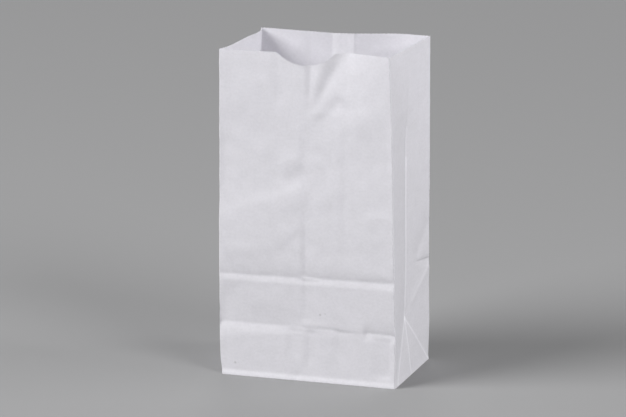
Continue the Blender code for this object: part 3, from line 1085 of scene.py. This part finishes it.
@dataclass
class Cockle:
    """The slight unevenness of a sheet that was folded flat, glued and opened by hand.

    It has a broad and a fine layer, and is held flat at the foot up to the first height of free.
    """

    height: float = 0.55
    span: float = 34.0
    fine_height: float = 0.72
    fine_span: float = 12.0
    seed: float = 3.7
    fine_seed: float = 11.0
    free: Pair = (2.0, 20.0)

    def tree(self) -> bpy.types.NodeTree:
        """Moves the walls in and out by two layers of seeded noise.

        Returns:
            The tree.
        """
        t = Shape("cockle", ("Height", "Scale", "Fine Height", "Fine Scale", "Seed"))
        layers = []
        for height, scale, shift in (("Height", "Scale", 0.0), ("Fine Height", "Fine Scale", self.fine_seed)):
            feeds = {"W": t.math("ADD", t.given("Seed"), shift), "Scale": t.given(scale), "Detail": 1.0}
            noise = t.add("ShaderNodeTexNoise", feeds, noise_dimensions="4D")
            centred = t.math("SUBTRACT", noise.outputs[0], 0.5)
            layers.append(t.math("MULTIPLY", centred, t.given(height)))
        total = t.math("ADD", *layers)
        up = t.add("ShaderNodeSeparateXYZ", {0: t.add("GeometryNodeInputPosition").outputs[0]}).outputs[2]
        ends = {"Value": up, 1: self.free[0] * MM, 2: self.free[1] * MM}
        free = t.add("ShaderNodeMapRange", ends, interpolation_type="SMOOTHSTEP")
        push = t.math("MULTIPLY", total, free.outputs[0])
        return t.end(t.vector("SCALE", {0: t.stored("outward", "FLOAT_VECTOR"), "Scale": push}))

    def values(self) -> dict:
        """The tree's inputs, noise scales being the inverse of a span.

        Returns:
            Their values, by name.
        """
        return {
            "Height": self.height * MM,
            "Scale": 1 / (self.span * MM),
            "Fine Height": self.fine_height * MM,
            "Fine Scale": 1 / (self.fine_span * MM),
            "Seed": self.seed,
        }


class Shader(Graph):
    """A material's nodes, from an empty tree to its surface."""

    def __init__(self, name: str) -> None:
        """Starts an empty material.

        Args:
            name: the material's name.
        """
        self.material = bpy.data.materials.new(name)
        self.material.use_nodes = True
        super().__init__(self.material.node_tree)
        self.tree.nodes.clear()

    def noise(self, place: bpy.types.NodeSocket, *, scale: float, **more: float) -> bpy.types.NodeSocket:
        """The value of a noise texture, with its other inputs by name."""
        return self.add("ShaderNodeTexNoise", {"Vector": place, "Scale": scale, **more}).outputs[0]

    def finish(self, surface: bpy.types.NodeSocket) -> bpy.types.Material:
        """Joins a shader to the material's output.

        Args:
            surface: the shader's socket.

        Returns:
            The material.
        """
        self.add("ShaderNodeOutputMaterial", {"Surface": surface})
        return self.material


@dataclass(frozen=True)
class Speck:
    """One darker speck of bark in the paper: its place on the sheet, its radius and its strength.

    Its edge fades between the two shares of its radius in soft.
    """

    run: float
    rise: float
    radius: float
    strength: float
    soft: Pair = (1.6, 0.5)


@dataclass(frozen=True)
class PaintedFoldLight:
    """A painted highlight (gain above 0) or painted shade (gain below 0) along a fold line, which lightens or
    darkens the paper's colour there.

    start and end lie on the flat sheet. The gain is full over the core, a share of the reach to either side.
    """

    start: Pair
    end: Pair
    reach: float
    gain: float
    core: float = 0.3


@dataclass(frozen=True)
class BleachedKraft:
    """White uncoated kraft paper: faint clouds of fibre, fine vertical ribbing, rare specks, and painted
    highlights and painted shade along its fold lines.

    The scales belong to noise read off the sheet's map, in metres. through is the share of light that comes
    through one sheet, and lap_through the share at the seam, where two lie together.
    """

    name: str = "white_paper"
    colour: tuple[float, float, float] = (0.832, 0.822, 0.862)
    speck_colour: tuple[float, float, float] = (0.42, 0.41, 0.41)
    roughness: float = 0.78
    rough_spread: float = 0.08
    specular: float = 0.3
    through: float = 0.23
    lap_through: float = 0.04
    lap: float = 19.0
    girth: float = 508.0
    cloud: float = 0.072
    cloud_scale: float = 420.0
    broad_scale: float = 110.0
    fibre: float = 0.042
    fibre_scale: float = 2600.0
    fibre_stretch: float = 0.22
    fleck_scale: float = 160.0
    fleck_rarity: float = 0.975
    fleck_edge: Pair = (0.035, 0.012)
    fleck_strength: float = 0.3
    grain: Pair = (0.6, 0.4)
    bump: float = 0.25
    bump_height: float = 0.05
    specks: tuple[Speck, ...] = ()
    # painted highlights and painted shade along fold lines, multiplied into the paper's colour
    painted_fold_lights: tuple[PaintedFoldLight, ...] = ()

    def painted_fold_tone(self, s: Shader, sheet: bpy.types.NodeSocket, fold_light: PaintedFoldLight) -> bpy.types.NodeSocket:
        """How much a painted highlight or painted shade along a fold line lightens or darkens the sheet's
        colour.

        Args:
            s: the material's nodes.
            sheet: the place on the sheet.
            fold_light: the painted highlight or shade along the fold line.

        Returns:
            A factor, 1 away from the mark.
        """
        start = Vector((*fold_light.start, 0.0)) * MM
        along = Vector((*fold_light.end, 0.0)) * MM - start
        offset = s.vector("SUBTRACT", {0: sheet, 1: start})
        dot = s.vector("DOT_PRODUCT", {0: offset, 1: along / along.length_squared}, "Value")
        share = s.add("ShaderNodeClamp", {"Value": dot}).outputs[0]
        foot = s.vector("SCALE", {0: along, "Scale": share})
        far = s.vector("DISTANCE", {0: offset, 1: foot}, "Value")
        ends = {1: fold_light.core * fold_light.reach * MM, 2: fold_light.reach * MM, 3: 1.0 + fold_light.gain, 4: 1.0}
        return s.add("ShaderNodeMapRange", {"Value": far, **ends}, interpolation_type="SMOOTHSTEP").outputs[0]

    def tone(self, s: Shader, sheet: bpy.types.NodeSocket, layers: tuple) -> bpy.types.NodeSocket:
        """The paper's lightness from its fibre noise, times the painted highlights and painted shade along
        fold lines.

        Args:
            s: the material's nodes.
            sheet: the place on the sheet.
            layers: noise sockets, each with its strength.

        Returns:
            A factor, about 1.
        """
        tone = 1.0
        for noise, strength in layers:
            tone = s.math("MULTIPLY_ADD", s.math("SUBTRACT", noise, 0.5), strength, tone)
        # painted highlights and painted shade along the fold lines
        for fold_light in self.painted_fold_lights:
            tone = s.math("MULTIPLY", tone, self.painted_fold_tone(s, sheet, fold_light))
        return tone

    def spots(self, s: Shader, sheet: bpy.types.NodeSocket) -> bpy.types.NodeSocket:
        """The specks, and the rare small flecks all over the sheet.

        Args:
            s: the material's nodes.
            sheet: the place on the sheet.

        Returns:
            How far a spot covers the paper, from 0 to 1.
        """
        dirt = s.add("ShaderNodeTexVoronoi", {"Vector": sheet, "Scale": self.fleck_scale, "Randomness": 1.0})
        rare = s.add("ShaderNodeSeparateColor", {0: dirt.outputs["Color"]}).outputs[0]
        chosen = s.math("GREATER_THAN", rare, self.fleck_rarity)
        outer, inner = self.fleck_edge
        ends = {"Value": dirt.outputs["Distance"], 1: outer, 2: inner, 3: 0.0, 4: self.fleck_strength}
        cover = s.math("MULTIPLY", chosen, s.add("ShaderNodeMapRange", ends).outputs[0])
        for speck in self.specks:
            far = s.vector("DISTANCE", {0: sheet, 1: (speck.run * MM, speck.rise * MM, 0.0)}, "Value")
            outer, inner = (speck.radius * share * MM for share in speck.soft)
            ends = {"Value": far, 1: outer, 2: inner, 3: 0.0, 4: speck.strength}
            edge = s.add("ShaderNodeMapRange", ends, interpolation_type="SMOOTHSTEP")
            cover = s.math("MAXIMUM", cover, edge.outputs[0])
        return cover

    def thinness(self, s: Shader, sheet: bpy.types.NodeSocket) -> bpy.types.NodeSocket:
        """The share of light that comes through: less at the seam, where two sheets lie together.

        Args:
            s: the material's nodes.
            sheet: the place on the sheet.

        Returns:
            The share.
        """
        run = s.add("ShaderNodeSeparateXYZ", {0: sheet}).outputs[0]
        from_edge = s.math("MINIMUM", run, s.math("SUBTRACT", self.girth * MM, run))
        single = s.math("GREATER_THAN", from_edge, self.lap * MM)
        return s.math("MULTIPLY_ADD", single, self.through - self.lap_through, self.lap_through)

    def material(self) -> bpy.types.Material:
        """The finish as a material that reads the sheet's own map.

        Returns:
            The material.
        """
        s = Shader(self.name)
        sheet = s.add("ShaderNodeUVMap", uv_map="sheet").outputs[0]
        clouds = s.noise(sheet, scale=self.cloud_scale, Detail=3.0, Roughness=0.6)
        broad = s.noise(sheet, scale=self.broad_scale, Detail=2.0)
        stretch = (1.0, self.fibre_stretch, 1.0)
        along = s.add("ShaderNodeMapping", {"Vector": sheet, "Scale": stretch}).outputs[0]
        fibres = s.noise(along, scale=self.fibre_scale, Detail=4.0, Roughness=0.7)
        # the tone holds the fibre noise and the painted highlights and shade along the fold lines
        tone = self.tone(s, sheet, ((clouds, self.cloud * 2), (fibres, self.fibre * 2), (broad, self.cloud)))
        tinted = s.vector("SCALE", {0: self.colour, "Scale": tone})
        colours = {0: self.spots(s, sheet), 6: tinted, 7: (*self.speck_colour, 1.0)}
        base = s.add("ShaderNodeMix", colours, data_type="RGBA").outputs[2]
        grain = s.math("MULTIPLY_ADD", clouds, self.grain[0], s.math("MULTIPLY", fibres, self.grain[1]))
        feeds = {"Height": grain, "Strength": self.bump, "Distance": self.bump_height * MM}
        normal = s.add("ShaderNodeBump", feeds).outputs[0]
        low, high = self.roughness - self.rough_spread, self.roughness + self.rough_spread
        rough = s.add("ShaderNodeMapRange", {"Value": clouds, 3: low, 4: high}).outputs[0]
        paper = s.add("ShaderNodeBsdfPrincipled", {"Base Color": base, "Roughness": rough, "Normal": normal})
        paper.inputs["Specular IOR Level"].default_value = self.specular
        glow = s.add("ShaderNodeBsdfTranslucent", {"Color": base, "Normal": normal})
        shaders = {0: self.thinness(s, sheet), 1: paper.outputs[0], 2: glow.outputs[0]}
        return s.finish(s.add("ShaderNodeMixShader", shaders).outputs[0])


@dataclass(frozen=True)
class StudioPaper:
    """The plain pale ground that the bag stands on."""

    name: str = "studio_ground"
    colour: tuple[float, float, float] = (0.30, 0.30, 0.304)
    roughness: float = 0.9
    specular: float = 0.1

    def material(self) -> bpy.types.Material:
        """The finish as a material.

        Returns:
            The material.
        """
        s = Shader(self.name)
        ground = s.add("ShaderNodeBsdfPrincipled")
        ground.inputs["Base Color"].default_value = (*self.colour, 1.0)
        ground.inputs["Roughness"].default_value = self.roughness
        ground.inputs["Specular IOR Level"].default_value = self.specular
        return s.finish(ground.outputs[0])


@dataclass
class PaperBag:
    """The whole bag: its sheet, the cut of its mouth, its unevenness and its finish."""

    tube: Tube = field(default_factory=Tube)
    cockle: Cockle = field(default_factory=Cockle)
    smooth_angle: float = 50.0

    def finish(self, sheet: FoldedSheet) -> BleachedKraft:
        """The paper, with its specks on the front and painted highlights and painted shade along its fold
        lines.

        Args:
            sheet: the sheet that it covers.

        Returns:
            The finish.
        """
        runs = [run for _, _, run in sheet.columns(coarse=False)]
        front, right = runs[2][-1], runs[1][-1]
        spine, edge = right - 46.6, right - 91.5
        apex = (right - 46.0, 48.5)
        fan = ((edge, 0.0), (right - 44.0, 2.0), (right - 7.0, 1.0))
        return BleachedKraft(
            lap=sheet.seam_lap,
            girth=float(runs[4][-1]),
            # painted highlights along the right gusset's centre fold, the fan of folds below its apex and a
            # wedge under the pressed fold over the base; painted shade beside the centre fold, along that
            # pressed fold and faintly on the front's centre crease
            painted_fold_lights=(
                PaintedFoldLight((spine, 186.0), apex, 2.0, 0.11),
                PaintedFoldLight((spine, 212.0), (spine, 180.0), 2.0, 0.04),
                PaintedFoldLight((right - 43.0, 205.0), (right - 42.5, 60.0), 1.6, -0.06),
                *(PaintedFoldLight(apex, foot, 1.5, 0.11) for foot in fan),
                PaintedFoldLight((edge, 90.0), (right - 70.0, 92.0), 1.1, -0.14),
                PaintedFoldLight((edge, 86.0), (right - 60.0, 61.0), 2.8, 0.05),
                PaintedFoldLight((front - 75.0, 130.0), (front - 74.8, 91.0), 1.6, -0.02),
            ),
            specks=(
                Speck(front - 13.0, 10.9, 0.85, 0.42),
                Speck(front - 88.1, 58.7, 0.85, 0.38),
                Speck(front - 92.5, 59.9, 0.7, 0.22),
            ),
        )

    def build(self) -> bpy.types.Object:
        """Makes the bag's mesh and dresses it.

        Returns:
            The finished piece, a plain mesh at the origin.
        """
        sheet = FoldedSheet(self.tube)
        paper = self.finish(sheet).material()
        rough = add_object("sheet", sheet.mesh())
        for maker in (self.cockle, RimTeeth(sheet.tooth_pitch, sheet.tooth_depth)):
            modifier = rough.modifiers.new("shape", "NODES")
            modifier.node_group = maker.tree()
            items = modifier.node_group.interface.items_tree
            sockets = {item.name: item.identifier for item in items if item.in_out == "INPUT"}
            for name, value in {**maker.values(), "Paper": paper}.items():
                modifier[sockets[name]] = value
        wall = rough.modifiers.new("thickness", "SOLIDIFY")
        wall.thickness = sheet.thickness * MM
        wall.offset = 0.0
        wall.use_even_offset = False
        graph = bpy.context.evaluated_depsgraph_get()
        mesh = bpy.data.meshes.new_from_object(rough.evaluated_get(graph), depsgraph=graph)
        bpy.data.objects.remove(rough)
        self.map(mesh)
        mesh.polygons.foreach_set("use_smooth", [True] * len(mesh.polygons))
        mesh.set_sharp_from_angle(angle=math.radians(self.smooth_angle))
        return add_object("folded_paper_bag", mesh)

    def map(self, mesh: bpy.types.Mesh) -> None:
        """Gives the mesh its sheet map: run across, rise up, in metres.

        Args:
            mesh: the mesh, which holds both as attributes.
        """
        flat = np.zeros((len(mesh.vertices), 2), np.float32)
        for axis, name in enumerate(("run", "rise")):
            values = np.zeros(len(mesh.vertices), np.float32)
            mesh.attributes[name].data.foreach_get("value", values)
            flat[:, axis] = values
        corner = np.zeros(len(mesh.loops), np.int32)
        mesh.loops.foreach_get("vertex_index", corner)
        layer = mesh.uv_layers.new(name="sheet")
        layer.uv.foreach_set("vector", flat[corner].ravel())


@dataclass(frozen=True)
class Lamp:
    """One soft round lamp: its angles as away() has them, its distance, its width and its strength."""

    name: str
    azimuth: float
    elevation: float
    distance: float
    width: float
    strength: float

    def build(self, aim: Vector) -> None:
        """Makes the lamp, turned towards the bag.

        Args:
            aim: the place that it points at.
        """
        light = bpy.data.lights.new(self.name, "AREA")
        light.shape = "DISK"
        light.size = self.width
        light.energy = self.strength
        back = away(self.azimuth, self.elevation)
        lamp = add_object(self.name, light)
        lamp.location = aim + back * self.distance
        lamp.rotation_mode = "QUATERNION"
        lamp.rotation_quaternion = (-back).to_track_quat("-Z", "Y")


@dataclass
class Studio:
    """The ground, the lamps, the world and the camera."""

    ground_radius: float = 9.0
    ground_sides: int = 96
    world_strength: float = 0.12
    sight: tuple[float, float, float] = (-0.0088, -0.0034, 0.1383)
    azimuth: float = 18.773
    elevation: float = 14.518
    roll: float = -0.548
    distance: float = 3.36
    lens: float = 230.03
    sensor: float = 36.0
    clip: Pair = (0.1, 50.0)
    lamp_aim: tuple[float, float, float] = (0.0, 0.0, 0.05)
    lamps: tuple[Lamp, ...] = (
        Lamp("key", -53.0, 37.0, 5.0, 3.2, 272.0),
        Lamp("fill", 60.0, 30.0, 5.0, 2.5, 128.0),
        Lamp("fill_side", 100.0, 30.0, 5.0, 2.5, 73.0),
        Lamp("behind", 195.0, 22.0, 5.0, 2.5, 54.0),
    )

    def ground(self) -> None:
        """A wide round floor."""
        turns = np.linspace(0, 2 * math.pi, self.ground_sides + 1)[:-1]
        rim = [(math.cos(a) * self.ground_radius, math.sin(a) * self.ground_radius, 0.0) for a in turns]
        mesh = bpy.data.meshes.new("ground")
        mesh.from_pydata(rim, [], [list(range(len(rim)))])
        mesh.materials.append(StudioPaper().material())
        add_object("ground", mesh)

    def world(self) -> None:
        """An even pale surround."""
        world = bpy.data.worlds.new("surround")
        world.use_nodes = True
        light = world.node_tree.nodes["Background"]
        light.inputs["Color"].default_value = (1.0, 1.0, 1.0, 1.0)
        light.inputs["Strength"].default_value = self.world_strength
        bpy.context.scene.world = world

    def camera(self) -> None:
        """The camera at the photograph's angle, from far away with a long lens."""
        back = away(self.azimuth, self.elevation)
        level = math.radians(self.azimuth)
        right = Vector((math.cos(level), math.sin(level), 0.0))
        up = back.cross(right)
        turn = Matrix((right, up, back)).transposed() @ Matrix.Rotation(math.radians(self.roll), 3, "Z")
        data = bpy.data.cameras.new("camera")
        data.lens = self.lens
        data.sensor_width = self.sensor
        data.clip_start, data.clip_end = self.clip
        camera = add_object("camera", data)
        camera.matrix_world = Matrix.Translation(Vector(self.sight) + back * self.distance) @ turn.to_4x4()
        bpy.context.scene.camera = camera

    def build(self) -> None:
        """Sets up everything round the bag."""
        self.ground()
        self.world()
        for lamp in self.lamps:
            lamp.build(Vector(self.lamp_aim))
        self.camera()
        bpy.context.scene.view_settings.view_transform = "Standard"


def main() -> None:
    """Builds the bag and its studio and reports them."""
    logging.basicConfig(level=logging.INFO, format="%(name)s: %(message)s")
    bag = PaperBag()
    piece = bag.build()
    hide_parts("paper_bag")
    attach(piece, "root")
    LOG.info("%s: %d points, %d faces", piece.name, len(piece.data.vertices), len(piece.data.polygons))
    Studio().build()
    LOG.info("studio: ground, lamps and camera")


if __name__ == "__main__":
    main()
